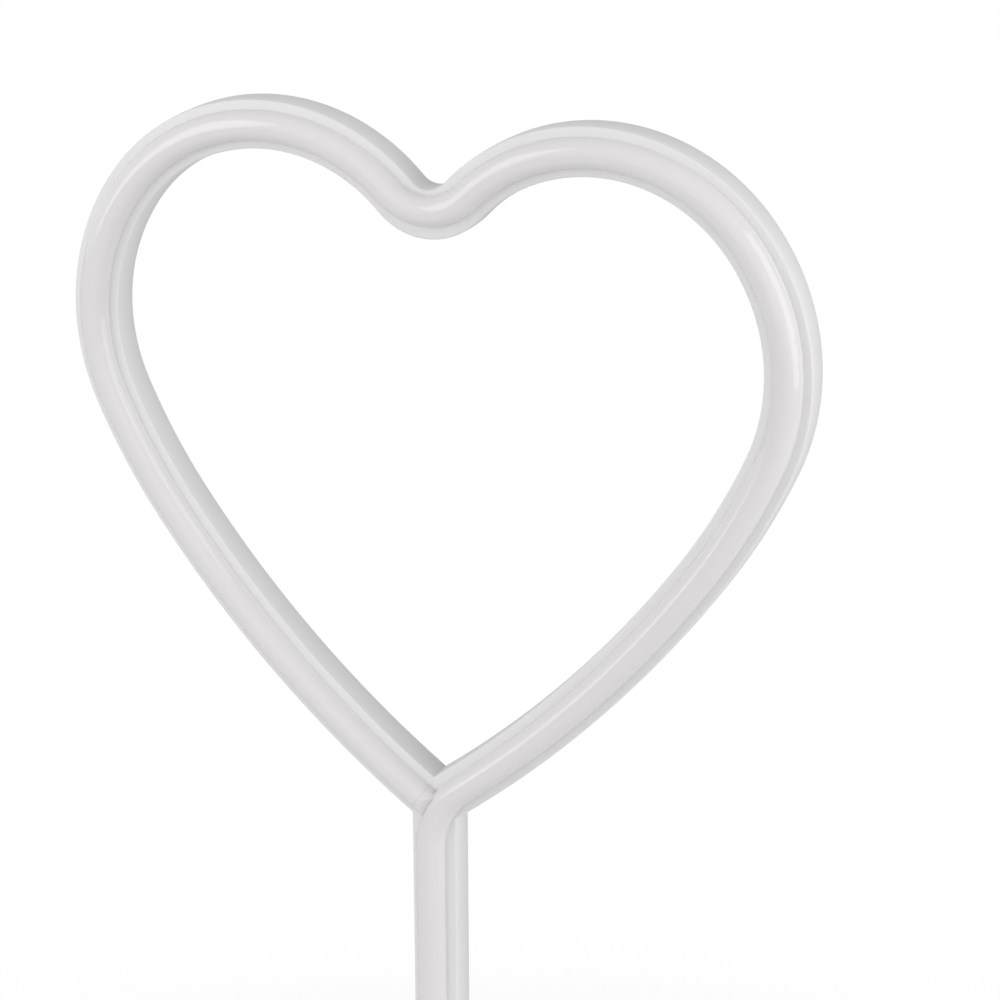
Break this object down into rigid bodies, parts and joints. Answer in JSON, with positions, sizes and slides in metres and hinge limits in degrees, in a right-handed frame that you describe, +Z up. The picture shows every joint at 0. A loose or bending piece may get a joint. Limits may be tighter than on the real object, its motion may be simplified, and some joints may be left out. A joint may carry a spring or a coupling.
{
  "type": "heart path light",
  "caption": "Heart-shaped moulded channel on a straight post, with a milky light tube let into its front, that plugs onto a ground stake to edge a path.",
  "frame": {"origin": "on the post's axis at ground level, which is the underside of the stake's foot flange", "axes": "+Z up along the post, -Y the way the lit tube faces, +X to the right seen from the front"},
  "size_m": [0.2502, 0.034, 0.7154],
  "materials": {
    "white_abs": "glossy moulded white ABS",
    "white_cover": "satin moulded white ABS",
    "milky_silicone": "satin milky silicone, slightly pink white",
    "strip_white": "white solder mask with moulded emitters",
    "red_insulation": "red wire insulation",
    "black_insulation": "black wire insulation",
    "grey_rubber": "pale grey moulded rubber",
    "stake_abs": "satin moulded white ABS",
    "zinc_steel": "zinc plated steel"
  },
  "bodies": {
    "stake": {"ground_stake": "stake_abs"},
    "light": {"front_housing": "white_abs", "heart_back_cover": "white_cover", "post_back_cover": "white_cover", "neon_tube": "milky_silicone", "tube_end_cap": "milky_silicone", "tube_lead_cap": "milky_silicone", "led_strip": "strip_white", "lead_wire_red": "red_insulation", "lead_wire_black": "black_insulation", "cord_gland": "grey_rubber", "heart_cover_screw_1": "zinc_steel", "heart_cover_screw_2": "zinc_steel", "heart_cover_screw_3": "zinc_steel", "heart_cover_screw_4": "zinc_steel", "heart_cover_screw_5": "zinc_steel", "heart_cover_screw_6": "zinc_steel", "heart_cover_screw_7": "zinc_steel", "post_cover_screw_1": "zinc_steel", "post_cover_screw_2": "zinc_steel", "post_cover_screw_3": "zinc_steel"}
  },
  "joints": [
    {"name": "light_lift", "type": "slide", "parent": "stake", "child": "light", "axis": [0, 0, 1], "range_m": [0, 0.032]}
  ]
}
